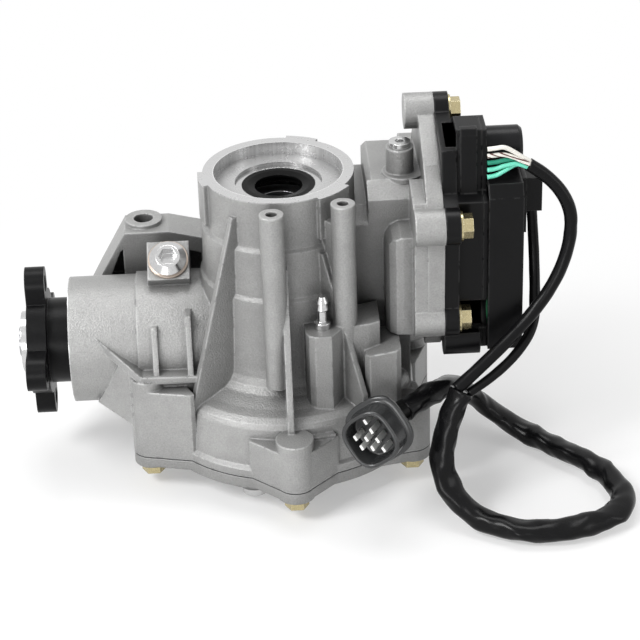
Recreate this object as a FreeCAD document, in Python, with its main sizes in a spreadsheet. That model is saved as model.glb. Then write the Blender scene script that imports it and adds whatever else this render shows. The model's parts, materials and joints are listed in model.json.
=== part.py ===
import FreeCAD, Part
import math
import os
import Sketcher

os.makedirs("parts", exist_ok=True)
doc = FreeCAD.newDocument("FrontGearCase")
V = FreeCAD.Vector
ROT = FreeCAD.Rotation

# Lengths in mm. Z is the axle line, z = 0 is the foot of the lower hub, -Y faces the viewer.
SIZES = {
    "fit": 0.05,
    "soft": 0.3,
    "split": 24,
    "gasket": 0.8,
    "bowl": 84,
    "wall": 80,
    "shoulder": 61.5,
    "neck": 52,
    "rim": 193,
    "rim_r": 46,
    "recess": 39.3,
    "recess_floor": 185.5,
    "seal_r": 26.5,
    "seal_core": 22.4,
    "lip": 14.5,
    "race_in": 20,
    "race_out": 35,
    "roller_ring": 27.5,
    "roller": 3.9,
    "roller_len": 10,
    "bearing_len": 14,
    "low_bearing": 22,
    "up_bearing": 124,
    "apex": 82,
    "input_r": 39.2,
    "input_bore": 31.5,
    "input_end": 133,
    "shaft_r": 17.5,
    "stub_r": 14,
    "flange_in": 147,
    "flange_out": 159,
    "ear_pcd": 81,
    "ear_r": 10.7,
    "ear_hole": 5.2,
    "neck_r": 26.6,
    "nut_r": 19,
    "bolt": 4,
    "bolt_hole": 4.3,
    "bolt_head": 6.5,
    "column": 11.5,
    "pillar": 7.25,
    "tapped": 3.4,
    "ear_boss": 11.75,
    "ear_bore": 6.2,
    "carrier_r": 34,
    "ring_module": 4,
    "diff_apex": 79,
    "diff_module": 2,
    "tube_r": 16,
    "spline_r": 13.2,
    "sleeve_r": 27,
    "groove_r": 23,
    "fork_z": 157,
    "pin_r": 6,
    "rack_module": 1.25,
    "shaft_y": 12.5,
    "shaft_z": 160,
    "motor_y": -13,
    "motor_z": 209,
    "motor_r": 11.7,
    "plate_in": 86,
    "plate_out": 96,
    "base_out": 105,
    "tray_out": 120,
    "lid_out": 123,
    "cover_out": 144,
    "wire_r": 1.05,
    "cable_r": 4,
    "lead_r": 3,
    "sheath_r": 5.7,
}
sheet = doc.addObject("Spreadsheet::Sheet", "Sizes")
for row, (alias, value) in enumerate(SIZES.items(), start=1):
    sheet.set("A%d" % row, alias)
    sheet.set("B%d" % row, str(value))
    sheet.setAlias("B%d" % row, alias)
doc.recompute()


def val(item):
    """Number behind a plain value or a sheet expression."""
    if isinstance(item, str):
        names = {key: float(SIZES[key]) for key in SIZES}
        sign = -1.0 if item.startswith("-") else 1.0
        total = 0.0
        for piece in item.lstrip("-").replace("-", "+-").split("+"):
            flip = -1.0 if piece.startswith("-") else 1.0
            piece = piece.lstrip("-")
            total += flip * (names[piece] if piece in names else float(piece))
        return sign * total
    return float(item)


def bound(item):
    """Sheet form of an expression made of size names."""
    text = item.lstrip("-")
    for key in sorted(SIZES, key=len, reverse=True):
        text = text.replace("+" + key, "+@" + key).replace("-" + key, "-@" + key)
    if any(text.startswith(key) for key in SIZES):
        text = "@" + text
    return text.replace("@", "Sizes.")


def bind(obj, prop, item):
    if isinstance(item, str):
        sign = "-" if item.startswith("-") else ""
        obj.setExpression(prop, sign + "(" + bound(item) + ")")
    elif "." in prop:
        return
    else:
        setattr(obj, prop, item)


def outline(sketch, points):
    """Closed polygon whose corners are held by sheet values or plain numbers."""
    spots = [V(val(a), val(b), 0) for a, b in points]
    count = len(spots)
    for i in range(count):
        sketch.addGeometry(Part.LineSegment(spots[i], spots[(i + 1) % count]), False)
    for i in range(count):
        sketch.addConstraint(Sketcher.Constraint("Coincident", i, 2, (i + 1) % count, 1))
    for i, point in enumerate(points):
        for kind, item in zip(("DistanceX", "DistanceY"), point):
            number = val(item)
            if abs(number) < 1e-9:
                axis = -2 if kind == "DistanceX" else -1
                sketch.addConstraint(Sketcher.Constraint("PointOnObject", i, 1, axis))
                continue
            if number > 0:
                rule = Sketcher.Constraint(kind, -1, 1, i, 1, number)
            else:
                rule = Sketcher.Constraint(kind, i, 1, -1, 1, -number)
            index = sketch.addConstraint(rule)
            if isinstance(item, str):
                sketch.setExpression("Constraints[%d]" % index, bound(item))


UP = FreeCAD.Placement()
LEFT = FreeCAD.Placement(V(0, 0, SIZES["apex"]), ROT(V(0, 1, 0), -90))


def east(y, z):
    """Frame whose own Z runs along +X through the point (y, z)."""
    return FreeCAD.Placement(V(0, y, z), ROT(V(1, 1, 1), 120))


def origin_plane(body, role):
    for item in body.Origin.OriginFeatures:
        if item.Role == role:
            return item


def turned(name, points, place=UP):
    """Turned piece: half profile (radius, height) spun about its own Z axis."""
    body = doc.addObject("PartDesign::Body", name)
    sketch = body.newObject("Sketcher::SketchObject", name + "_profile")
    sketch.AttachmentSupport = [(origin_plane(body, "XZ_Plane"), "")]
    sketch.MapMode = "FlatFace"
    outline(sketch, points)
    spin = body.newObject("PartDesign::Revolution", name + "_turn")
    spin.Profile = sketch
    spin.ReferenceAxis = (sketch, ["V_Axis"])
    spin.Angle = 360
    body.Tip = spin
    body.Placement = place
    return body


def ring(name, inner, outer, low, high, place=UP):
    return turned(name, [(inner, low), (outer, low), (outer, high), (inner, high)], place)


def cylinder(radius, low, high, place=UP, angle=360):
    """Plain cylinder from height low to high along the frame's own Z."""
    obj = doc.addObject("Part::Cylinder", "cyl")
    bind(obj, "Radius", radius)
    obj.Height = val(high) - val(low)
    obj.Angle = angle
    obj.Placement = place.multiply(FreeCAD.Placement(V(0, 0, val(low)), ROT()))
    if isinstance(high, str) or isinstance(low, str):
        top = bound(high) if isinstance(high, str) else str(high)
        foot = bound(low) if isinstance(low, str) else str(low)
        obj.setExpression("Height", "(" + top + ") - (" + foot + ")")
    return obj


def post(x, y, radius, low, high):
    return cylinder(radius, low, high, FreeCAD.Placement(V(x, y, 0), ROT()))


def block(x0, x1, y0, y1, z0, z1, place=UP):
    obj = doc.addObject("Part::Box", "box")
    obj.Length = x1 - x0
    obj.Width = y1 - y0
    obj.Height = z1 - z0
    obj.Placement = place.multiply(FreeCAD.Placement(V(x0, y0, z0), ROT()))
    return obj


def prism(points, place, length, centred=False):
    """Flat outline pushed along the frame's own Z."""
    sketch = doc.addObject("Sketcher::SketchObject", "outline")
    outline(sketch, points)
    sketch.Placement = place
    push = doc.addObject("Part::Extrusion", "push")
    push.Base = sketch
    push.DirMode = "Normal"
    push.LengthFwd = length
    push.Symmetric = centred
    push.Solid = True
    return push


def side_plate(points, y_back, thick):
    """Outline in X and Z, running from y_back towards the viewer."""
    place = FreeCAD.Placement(V(0, y_back, 0), ROT(V(1, 0, 0), 90))
    return prism(points, place, thick)


def end_plate(points, low, high):
    """Outline in Y and Z, running from x = low to x = high."""
    place = FreeCAD.Placement(V(val(low), 0, 0), ROT(V(1, 1, 1), 120))
    push = prism(points, place, val(high) - val(low))
    if isinstance(low, str):
        push.Base.setExpression("Placement.Base.x", bound(low))
    return push


def fin(angle, points, thick, shift=0):
    """Upright rib standing out from the axle line at the given angle."""
    turn = ROT(V(0, 0, 1), angle).multiply(ROT(V(1, 0, 0), 90))
    away = ROT(V(0, 0, 1), angle).multVec(V(0, shift, 0))
    return prism(points, FreeCAD.Placement(away, turn), thick, True)


def upright(points, low, high):
    """Outline in X and Y, running from z = low to z = high."""
    place = FreeCAD.Placement(V(0, 0, val(low)), ROT())
    push = prism(points, place, val(high) - val(low))
    if isinstance(low, str):
        push.Base.setExpression("Placement.Base.z", bound(low))
    return push


def common(name, pieces):
    obj = doc.addObject("Part::MultiCommon", name)
    obj.Shapes = pieces
    return obj


def shape_of(shape, name="made"):
    obj = doc.addObject("Part::Feature", name)
    obj.Shape = shape
    return obj


def fuse(name, pieces):
    obj = doc.addObject("Part::MultiFuse", name)
    obj.Shapes = pieces
    return obj


def group(name, pieces):
    obj = doc.addObject("Part::Compound", name)
    obj.Links = pieces
    return obj


def cut(name, base, tools):
    tool = tools[0] if len(tools) == 1 else fuse(name + "_tools", tools)
    obj = doc.addObject("Part::Cut", name)
    obj.Base = base
    obj.Tool = tool
    doc.recompute()
    if not obj.Shape.Volume < base.Shape.Volume - 0.01:
        raise RuntimeError(name + " lost nothing in its cut")
    return obj


def hexagon(across, low, high, place):
    """Six-sided prism along the frame's own Z."""
    far = across / math.sqrt(3)
    corners = []
    for k in range(6):
        turn = math.radians(60 * k)
        corners.append((far * math.cos(turn), far * math.sin(turn)))
    shifted = place.multiply(FreeCAD.Placement(V(0, 0, low), ROT()))
    return prism(corners, shifted, high - low)


def bolt(name, place, reach):
    """Flanged hex bolt: own Z points out of the head, z = 0 is the seat."""
    washer = cylinder(9, 0, 1.5, place)
    head = hexagon(13, 1.5, 7.5, place)
    shank = cylinder("bolt", -reach, 0, place)
    return fuse(name, [washer, head, shank])


nodes = []


def node(name, obj):
    obj.Label = name
    nodes.append((name, obj))
    return obj


def outward(shape):
    """The same solid with its walls facing outwards."""
    shell = shape.Shells[0]
    solid = Part.Solid(shell)
    if solid.Volume < 0:
        shell.reverse()
        solid = Part.Solid(shell)
    return solid


def bevel_gear(count, mate, module, face, blank, phase, place):
    """Straight bevel gear; the cone tip is the frame's own origin, the teeth look up to it."""
    radius = count * module / 2.0
    depth = mate * module / 2.0
    reach = math.hypot(radius, depth)
    small = (reach - face) / reach
    lift = (depth / reach, radius / reach)
    pitch = math.pi * module
    levels = ((0.8 * module, 0.37 * pitch - 0.582 * module), (-1.15 * module, 0.37 * pitch + 0.8 * module))
    solids = [blank]
    for k in range(count):
        turn = math.radians(phase + 360.0 * k / count)
        out = V(math.cos(turn), math.sin(turn), 0)
        side = V(-math.sin(turn), math.cos(turn), 0)
        big = []
        for height, width in levels:
            base = out * (radius + height * lift[0]) + V(0, 0, -depth + height * lift[1])
            big.append((base - side * (width / 2), base + side * (width / 2)))
        loop = [big[0][0], big[0][1], big[1][1], big[1][0]]
        tiny = [point * small for point in loop]
        ends = [Part.makePolygon(tiny + tiny[:1]), Part.makePolygon(loop + loop[:1])]
        solids.append(outward(Part.makeLoft(ends, True, True)))
    shape = solids[0].fuse(solids[1:])
    return outward(shape.transformed(place.toMatrix(), True))


def spun(points):
    """Blank of a gear from its half profile."""
    wire = Part.makePolygon([V(r, 0, z) for r, z in points] + [V(points[0][0], 0, points[0][1])])
    return outward(Part.Face(wire).revolve(V(0, 0, 0), V(0, 0, 1), 360))


def root_line(count, mate, module, face):
    """Root points (outer, inner) of a bevel gear below its cone tip."""
    radius = count * module / 2.0
    depth = mate * module / 2.0
    reach = math.hypot(radius, depth)
    small = (reach - face) / reach
    outer = (radius - module * depth / reach, -depth - module * radius / reach)
    return outer, (outer[0] * small, outer[1] * small)


def spur_gear(count, module, low, high, phase):
    """Straight gear along its own Z."""
    radius = count * module / 2.0
    pitch = 360.0 / count
    corners = []
    for k in range(count):
        mid = phase + k * pitch
        for share, height in ((-0.31, -1.15), (-0.10, 0.9), (0.10, 0.9), (0.31, -1.15)):
            turn = math.radians(mid + share * pitch)
            reach = radius + height * module
            corners.append(V(reach * math.cos(turn), reach * math.sin(turn), low))
    return Part.Face(Part.makePolygon(corners + corners[:1])).extrude(V(0, 0, high - low))


def cord(name, points, radius):
    """Round cord of straight runs joined by tangent arcs."""
    spots = [V(*point) for point in points]
    edges = []
    start = spots[0]
    bends = []
    for i in range(1, len(spots) - 1):
        before = spots[i] - spots[i - 1]
        after = spots[i + 1] - spots[i]
        half = before.getAngle(after) / 2
        run = 0.45 * min(before.Length, after.Length)
        bends.append(run / math.tan(half))
        enter = spots[i] - V(before).normalize() * run
        leave = spots[i] + V(after).normalize() * run
        inward = (V(after).normalize() - V(before).normalize()).normalize()
        rise = bends[-1] / math.cos(half) - bends[-1]
        edges.append(Part.LineSegment(start, enter).toShape())
        edges.append(Part.Arc(enter, spots[i] + inward * rise, leave).toShape())
        start = leave
    edges.append(Part.LineSegment(start, spots[-1]).toShape())
    wire = Part.Wire(edges)
    loop = Part.Wire(Part.Circle(spots[0], spots[1] - spots[0], radius).toShape())
    shape = wire.makePipeShell([loop], True, True)
    print(name, "bend radii", [round(bend, 1) for bend in bends])
    return node(name, shape_of(shape, name))


# Casting: bowl, shoulder and collar in one turned body, then everything that grows out of it.
BOLTS = [(-86, -40), (2, -89), (76, -48), (82, 36), (-2, 89), (-80, 46)]
COLUMN_TOPS = [77, 56, 56, 54, 52, 62]


def flare(x, y, low, high):
    """Straight-sided foot that joins a bolt column to the bowl wall."""
    reach = math.hypot(x, y)
    ux, uy = x / reach, y / reach
    corners = []
    for along, across in ((76, -27), (79, -27), (reach + 6.6, -9.4), (reach + 6.6, 9.4), (79, 27),
                          (76, 27)):
        corners.append((along * ux - across * uy, along * uy + across * ux))
    return upright(corners, low, high)


outer = turned("case_turned", [
    (0, "split"), ("bowl", "split"), ("bowl", "split+5"), (81.5, 31), ("wall", 52), (79.3, 56), (77.5, 59),
    (74, "shoulder"), (68, 63.5), (59, 68), (55, 71.5), (52.8, 76), ("neck", 82), (50.5, 128),
        (48.8, 130), (48, 160),
    (46.3, 162), ("rim_r", 164), ("rim_r", "rim"), (0, "rim")])
grown = [outer]
for (x, y), top in zip(BOLTS, COLUMN_TOPS):
    grown.append(post(x, y, "column", "split", top))
    grown.append(flare(x, y, "split", top - 6))
for low, sweep in ((178, 24), (58, 24), (-62, 30)):
    grown.append(cylinder(49, 166, "rim", FreeCAD.Placement(V(0, 0, 0), ROT(V(0, 0, 1), low)), sweep))
grown.append(cylinder("input_r", 20, "input_end", LEFT))
grown.append(cylinder(40.7, 40, 91, LEFT))

# Two drilled pillars with their webs, and the three long ribs down the shoulder.
PILLARS = [(-6, -60), (36.4, -50)]
for x, y in PILLARS:
    grown.append(post(x, y, "pillar", 77, "rim"))
    grown.append(fin(math.degrees(math.atan2(y, x)), [(40, 79), (60, 79), (60, 178), (40, 178)], 7))
RIBS = [
    (-152.7, 19.6, [(30, 52), (77, 52), (77.6, 59), (43.8, 181), (30, 181)]),
    (-90, 0.3, [(40, 50), (84, 50), (84, 58), (60, 138), (53, 152), (40, 152)]),
    (-47.3, -11, [(35, 52), (78.5, 52), (80.8, 70), (48.8, 157), (35, 157)]),
]
for angle, shift, points in RIBS:
    grown.append(fin(angle, points, 4, shift))

# Wall, bent shelf and two small ribs in front of the input housing.
grown.append(common("shelf_wall", [
    side_plate([(-114, 62), (-118, 54), (-97, 45), (-97, 24), (-52, 24), (-52, 78), (-89, 78),
                (-102, 88)], -10, 38),
    upright([(-119, -31), (-97, -46), (-52, -46), (-52, -14), (-119, -14)], 20, 90)]))
grown.append(common("shelf_top", [
    side_plate([(-117, 102), (-88.5, 80.5), (-50, 79.5), (-50, 75.5), (-90, 75.5), (-119, 97.5)], -15, 40),
    upright([(-119, -33), (-90, -50), (-50, -50), (-50, -18), (-119, -18)], 70, 105)]))
for x, top in ((-80, 107), (-59, 114)):
    grown.append(end_plate([(-49.5, 77), (-36, top), (-20, top), (-20, 77)], x - 1.7, x + 1.7))

# Ear behind the input housing, with its hollowed web.
EAR = (-86, 50)
web = side_plate([(-122, 82), (-36, 82), (-36, 126), (-50, 132), (-70, 137), (-98, 137), (-115, 107),
                  (-122, 94)], 60, 26)
grown.append(web)
grown.append(cylinder(12.6, 80, 128, FreeCAD.Placement(V(EAR[0], EAR[1], 0), ROT())))
grown.append(post(EAR[0], EAR[1], "ear_boss", 82, 139.5))

# Filler boss leaning towards the viewer.
FILL = FreeCAD.Placement(V(-70, -4, 138), ROT(V(1, 0, 0), 36.87))
grown.append(block(-13, 13, -13, 13, -32, -3, FILL))

# Shift housing and the wall that carries the shift drive.
grown.append(side_plate([(30, 92), (90, 92), (90, 188), (56, 188), (53, 185), (53, 172),
                         (30, 172)], 46, 56))
grown.append(end_plate([(-22, 92), (-10, 92), (-10, 188), (-22, 180)], 53, 90))
grown.append(end_plate([(-22, 92), (-10, 92), (-10, 172), (-22, 164)], 30, 54))
grown.append(post(76, -1, 13, 186, 189.2))
grown.append(block(30, 78, -20, 44, 45, 92))
grown.append(post(74, 0, 8.4, 180, 205))
grown.append(common("buttress", [
    upright([(62, -15), (62, -36), (64, -42), (68, -45.5), (72, -46.5), (80, -46.5), (80, -15)], 98, 170),
    side_plate([(60, 100), (82, 100), (82, 166), (71, 166), (66, 163.5), (63, 159), (62, 153)], -10, 40)]))
grown.append(end_plate([(-50, 104), (-20, 100), (-20, 192), (-46, 188), (-57, 177),
                        (-54, 112)], 78, "plate_in"))
LUGS = [(-55, 177), (-47, 111), (20, 219), (64, 172), (56, 106)]
grown.append(end_plate([(-40, 100), (-30, 84), (30, 84), (62, 104), (68, 172), (52, 194),
                        (30, 218.5), (10, 221), (-26, 204), (-44, 190), (-58, 178), (-54, 108)],
                       "plate_in", "plate_out"))
for y, z in LUGS:
    grown.append(cylinder(11, 78, "plate_out", east(y, z)))

# Small lumps on the viewer's side of the bowl.
grown.append(upright([(11, -40), (11.5, -61), (13.5, -65), (17, -67), (27, -67), (34, -57), (50, -54),
                      (57, -51), (57, -25)],
                     56, 113))
grown.append(common("side_lump", [
    upright([(47, -30), (47, -60), (50, -63), (66, -63), (69, -60), (69, -30)], 55, 100),
    side_plate([(46, 55), (70, 55), (70, 99), (48, 95.5), (46, 93)], -25, 45)]))
grown.append(cylinder(84, 43, 52, FreeCAD.Placement(V(0, 0, 0), ROT(V(0, 0, 1), -88)), 17))
solid_case = fuse("case_grown", grown)

hollow = [turned("case_hollow", [
    (0, 19), (75, 19), (75, 51), (73, 55), (66, 58.5), (54, 63), (46, 69), (42, 76), (42, 120),
        ("race_out+fit", 124),
    ("race_out+fit", 138), (30, 138), (30, 174), (24, 174), (24, 176.5), ("seal_r+fit", 176.5),
    ("seal_r+fit", "recess_floor"), ("recess", "recess_floor"), ("recess", 195), (0, 195)])]
hollow.append(cylinder("input_bore", 30, 140, LEFT))
hollow.append(cylinder(33.5, 30, 61, LEFT))
hollow.append(cylinder(33.05, 124.5, 140, LEFT))
hollow.append(cylinder(9.3, -40, 5, FILL))
hollow.append(block(25, 57.5, -14, 26, 146, 166))
hollow.append(block(56, 82, -14, 26, 142, 178))
hollow.append(cylinder("fit+6.5", 70, 100, east(SIZES["shaft_y"], SIZES["shaft_z"])))
hollow.append(post(62, 0, "fit+3.6", 128, 187))
hollow.append(post(74, 0, 4.3, 176, 210))
for x, y in BOLTS:
    hollow.append(post(x, y, "bolt_hole", 19, 42))
for x, y in PILLARS:
    hollow.append(post(x, y, "tapped", 173, 195))
hollow.append(post(EAR[0], EAR[1], "ear_bore", 70, 141))
for y, z in LUGS:
    hollow.append(cylinder("bolt_hole", 80, 98, east(y, z)))
hollow.append(side_plate([(-112, 98), (-99.5, 98), (-99.5, 126), (-101.5, 124)], 57, 25))
hollow.append(side_plate([(-72.5, 98), (-50, 98), (-50, 121), (-72.5, 128)], 57, 25))
hollow.append(post(22, -55, 3, 101, 115))
housing = cut("case_cut", solid_case, hollow)
node("main_housing", housing)

# Lower cover with its lugs, gasket and bolts.
dish = turned("cover_turned", [
    (24, 10), ("seal_r+fit", 10), ("seal_r+fit", 3), (30, 3), (30, 0), (44, 0), (46, 2), (46, 8),
    (50, 11), (80, 16), ("bowl", 16), ("bowl", "split-gasket"), (75, "split-gasket"), (73, 21.5),
    (50, 17.5), (38.5, 19), (38.5, 36), ("race_out+fit", 36), ("race_out+fit", "low_bearing"),
    (24, "low_bearing")])
DRAIN = (-23, -62)
cover = [dish, post(DRAIN[0], DRAIN[1], 10, 9, 20)]
for x, y in BOLTS:
    cover.append(post(x, y, "column", 16, "split-gasket"))
    cover.append(flare(x, y, 17, "split-gasket"))
holes = [post(x, y, "bolt_hole", 14, 25) for x, y in BOLTS]
holes += [post(DRAIN[0], DRAIN[1], "fit+5", 8, 24), cylinder(75, "split-gasket", 30)]
node("side_cover", cut("cover_cut", fuse("cover_whole", cover), holes))
flat = [cylinder("bowl", "split-gasket", "split")]
for x, y in BOLTS:
    flat.append(post(x, y, "column", "split-gasket", "split"))
    flat.append(flare(x, y, "split-gasket", "split"))
holes = [post(x, y, "bolt_hole", 22, 26) for x, y in BOLTS] + [cylinder(75, 22, 26)]
node("cover_gasket", cut("gasket_cut", fuse("gasket_whole", flat), holes))
DOWN = ROT(V(1, 0, 0), 180)
heads = [bolt("cover_bolt", FreeCAD.Placement(V(x, y, 16), DOWN), 26) for x, y in BOLTS]
node("cover_bolts", group("cover_bolt_set", heads))
SUMP = FreeCAD.Placement(V(DRAIN[0], DRAIN[1], 9), DOWN)
head = fuse("drain_whole", [cylinder(8, 0, 5.5, SUMP), cylinder(5, -11, 0, SUMP)])
node("drain_plug", cut("drain_cut", head, [hexagon(8, 1.5, 6, SUMP)]))

# Axle seals: pressed metal ring with the rubber lip inside it.
for name, low in (("upper", 177), ("lower", 3.5)):
    high = low + 6.5
    node(name + "_seal_case", ring(name + "_seal_metal", "seal_core", "seal_r", low, high))
    node(name + "_seal_lip", turned(name + "_seal_rubber", [
        (17, low), ("seal_core", low), ("seal_core", high), (19, high), ("lip", high - 1),
        ("lip", high - 2.5), (17, high - 3.5)]))
node("input_oil_seal", ring("input_seal_ring", "neck_r+soft", 33, 125, 132, LEFT))

# Filler plug, vent, detent screw.
node("filler_washer", ring("filler_ring", "fit+9", 12.5, -3, -1.5, FILL))
head = turned("filler_whole", [(0, -16), (9, -16), (9, -1.5), (11.5, -1.5), (11.5, 0.2), (7.5, 3.4),
                               (0, 3.4)], FILL)
node("filler_plug", cut("filler_cut", head, [hexagon(10, -3.5, 4, FILL)]))
node("vent_nipple", turned("vent_turned", [
    (0, 102), (2.9, 102), (2.9, 113), (5, 113), (5, 117), (3, 118), (3, 125), (4.1, 126), (3, 130),
    (4.1, 130.5), (2.4, 134.5), (0, 134.5)], FreeCAD.Placement(V(22, -55, 0), ROT())))
DETENT = FreeCAD.Placement(V(74, 0, 205), ROT())
head = fuse("detent_whole", [cylinder(6.5, 0, 3.5, DETENT), cylinder(4, -22, 0, DETENT)])
node("detent_screw", cut("detent_cut", head, [hexagon(5, 1, 4, DETENT)]))


def bearing(name, low, inner, outer_r, pitch_r, roller_r, count, place):
    """Roller bearing as two rings and a set of rollers."""
    high = low + SIZES["bearing_len"]
    gap = 0.1
    node(name + "_inner_ring", ring(name + "_in", inner, pitch_r - roller_r - gap, low, high, place))
    node(name + "_outer_ring", ring(name + "_out", pitch_r + roller_r + gap, outer_r, low, high, place))
    rollers = []
    for k in range(count):
        turn = math.radians(360.0 * k / count)
        spot = place.multiply(FreeCAD.Placement(V(pitch_r * math.cos(turn), pitch_r * math.sin(turn), 0),
            ROT()))
        rollers.append(cylinder(roller_r, low + 2, low + 12, spot))
    node(name + "_rollers", group(name + "_set", rollers))


bearing("carrier_bearing_lower", 22, "race_in+fit", "race_out", 27.5, 3.9, 10, UP)
bearing("carrier_bearing_upper", 124, "race_in+fit", "race_out", 27.5, 3.9, 10, UP)
bearing("pinion_bearing_inner", 62, "shaft_r+fit", "input_bore-fit", 24.4, 3.4, 9, LEFT)
bearing("pinion_bearing_outer", 96, "shaft_r+fit", "input_bore-fit", 24.4, 3.4, 9, LEFT)

# Differential carrier with windows, dog teeth and bolt holes.
shell = turned("carrier_turned", [
    ("tube_r+fit", 24), ("race_in", 24), ("race_in", 38), (57, 38), (57, 46), ("carrier_r", 46),
    ("carrier_r", 104), (24, 112), ("race_in", 112), ("race_in", 140), ("tube_r+fit", 140),
    ("tube_r+fit", 101), (30, 101), (30, 57), ("tube_r+fit", 57)])
DOGS = 12


def dogs(low, high, phase):
    teeth = []
    for k in range(DOGS):
        place = FreeCAD.Placement(V(0, 0, 0), ROT(V(0, 0, 1), phase + 360.0 * k / DOGS))
        teeth.append(block(17, 19.8, -1.6, 1.6, low, high, place))
    return teeth


RING_BOLTS = [(47 * math.cos(math.radians(45 * k)), 47 * math.sin(math.radians(45 * k))) for k in range(8)]
windows = [block(-40, 40, -15, 15, 62, 96)]
windows.append(cylinder("pin_r+fit", -40, 40, FreeCAD.Placement(V(0, 0, SIZES["diff_apex"]), ROT(V(1, 0,
    0), 90))))
windows += [post(x, y, 3.3, 37, 47) for x, y in RING_BOLTS]
node("carrier", cut("carrier_cut", fuse("carrier_whole", [shell] + dogs(139, 144, 0)), windows))
pin = cylinder("pin_r", -33.5, 33.5, FreeCAD.Placement(V(0, 0, SIZES["diff_apex"]), ROT(V(1, 0, 0), 90)))
node("cross_pin", pin)

# Ring gear and pinion share the cone tip on the axle line.
RING, PINION, SIDE, SPIDER = 28, 14, 20, 12
TIP = FreeCAD.Placement(V(0, 0, SIZES["apex"]), ROT())
far, near = root_line(RING, PINION, SIZES["ring_module"], 15)
floor = 46 - SIZES["apex"]
pilot = SIZES["carrier_r"] + SIZES["fit"]
blank = spun([(pilot, floor), (57, floor), far, near, (pilot, near[1])])
gear = bevel_gear(RING, PINION, SIZES["ring_module"], 15, blank, 0, TIP)
node("ring_gear", cut("ring_gear_cut", shape_of(gear, "ring_teeth"),
                      [post(x, y, 3.3, 45, 51.5) for x, y in RING_BOLTS]))
heads = []
for x, y in RING_BOLTS:
    heads.append(fuse("ring_bolt", [post(x, y, 5.6, 33.5, 38), post(x, y, 3, 38, 51)]))
node("ring_gear_bolts", group("ring_bolt_set", heads))

WEST = FreeCAD.Placement(V(0, 0, SIZES["apex"]), ROT(V(0, 1, 0), 90))
far, near = root_line(PINION, RING, SIZES["ring_module"], 15)
shaft = SIZES["shaft_r"]
stub = SIZES["stub_r"]
blank = spun([(0, near[1]), near, far, (far[0], -61.7), (shaft, -61.7), (shaft, -111), (stub, -111),
              (stub, -158), (9, -158), (9, -166), (0, -166)])
gear = bevel_gear(PINION, RING, SIZES["ring_module"], 15, blank, 180.0 / PINION, WEST)
node("pinion_shaft", shape_of(gear, "pinion_teeth"))

# Side gears and spider gears inside the carrier.
CENTRE = V(0, 0, SIZES["diff_apex"])
far, near = root_line(SIDE, SPIDER, SIZES["diff_module"], 5)
tube = SIZES["tube_r"]
bore = SIZES["spline_r"]
for name, turn, end in (("side_gear_upper", 180, 93), ("side_gear_lower", 0, 54)):
    blank = spun([(bore, near[1]), near, far, (far[0], -21.7), (tube, -21.7), (tube, -end), (bore, -end)])
    gear = bevel_gear(SIDE, SPIDER, SIZES["diff_module"], 5, blank, 0, FreeCAD.Placement(CENTRE, ROT(V(1,
        0, 0), turn)))
    node(name, shape_of(gear, name + "_teeth"))
far, near = root_line(SPIDER, SIDE, SIZES["diff_module"], 5)
hole = SIZES["pin_r"] + SIZES["fit"]
for name, turn in (("spider_gear_front", -90), ("spider_gear_rear", 90)):
    blank = spun([(hole, near[1]), near, far, (far[0], -26), (hole, -26)])
    gear = bevel_gear(SPIDER, SIDE, SIZES["diff_module"], 5, blank, 15, FreeCAD.Placement(CENTRE,
        ROT(V(1, 0, 0), turn)))
    node(name, shape_of(gear, name + "_teeth"))

# Lock sleeve on the upper tube, fork and rack that move it.
sleeve = turned("sleeve_turned", [
    ("tube_r+fit", 150), ("sleeve_r", 150), ("sleeve_r", "fork_z"), ("groove_r", "fork_z"),
    ("groove_r", "fork_z+6"), ("sleeve_r", "fork_z+6"), ("sleeve_r", 170), ("tube_r+fit", 170)])
node("lock_sleeve", fuse("sleeve_whole", [sleeve] + dogs(146, 151, 15)))
claw = cut("claw_cut", fuse("claw_whole", [cylinder(29, 157.3, 162.7), block(20, 57, -8, 8, 157.3, 162.7)]),
           [cylinder(23.4, 150, 170), block(-40, 0, -40, 40, 150, 170)])
step = math.pi * SIZES["rack_module"]
rack = []
for k in range(-2, 4):
    mid = SIZES["shaft_z"] + k * step
    corners = [(3.5, mid - 1.05), (6, mid - 0.4), (6, mid + 0.4), (3.5, mid + 1.05)]
    rack.append(end_plate(corners, 58, 66))
rod = [block(57, 67, -5, 3.6, 146.5, 175), post(62, 0, 3.6, 134, 186)]
node("shift_fork", fuse("fork_whole", [claw] + rod + rack))

# Shift drive gears: output, double idler, motor.
BIG, SMALL, WHEEL, DRIVE = 42, 10, 38, 10
out_yz = (SIZES["shaft_y"], SIZES["shaft_z"])
motor_yz = (SIZES["motor_y"], SIZES["motor_z"])
reach_a = (BIG + SMALL) * SIZES["rack_module"] / 2
reach_b = (WHEEL + DRIVE) / 2.0
span = math.hypot(motor_yz[0] - out_yz[0], motor_yz[1] - out_yz[1])
along = (reach_a ** 2 - reach_b ** 2 + span ** 2) / (2 * span)
across = math.sqrt(reach_a ** 2 - along ** 2)
uy, uz = (motor_yz[0] - out_yz[0]) / span, (motor_yz[1] - out_yz[1]) / span
idler_yz = (out_yz[0] + along * uy + across * uz, out_yz[1] + along * uz - across * uy)
print("idler centre", [round(number, 3) for number in idler_yz])
toward_idler = math.degrees(math.atan2(idler_yz[1] - out_yz[1], idler_yz[0] - out_yz[0]))
toward_motor = math.degrees(math.atan2(motor_yz[1] - idler_yz[1], motor_yz[0] - idler_yz[0]))
solids = [spur_gear(12, SIZES["rack_module"], 58, 68, 15), Part.makeCylinder(6.5, 46, V(0, 0, 67)),
          spur_gear(BIG, SIZES["rack_module"], 108, 113, toward_idler)]
wheel = solids[0].fuse(solids[1:])
wheel.Placement = east(*out_yz)
node("output_gear_shaft", shape_of(wheel, "output_teeth"))
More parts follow.
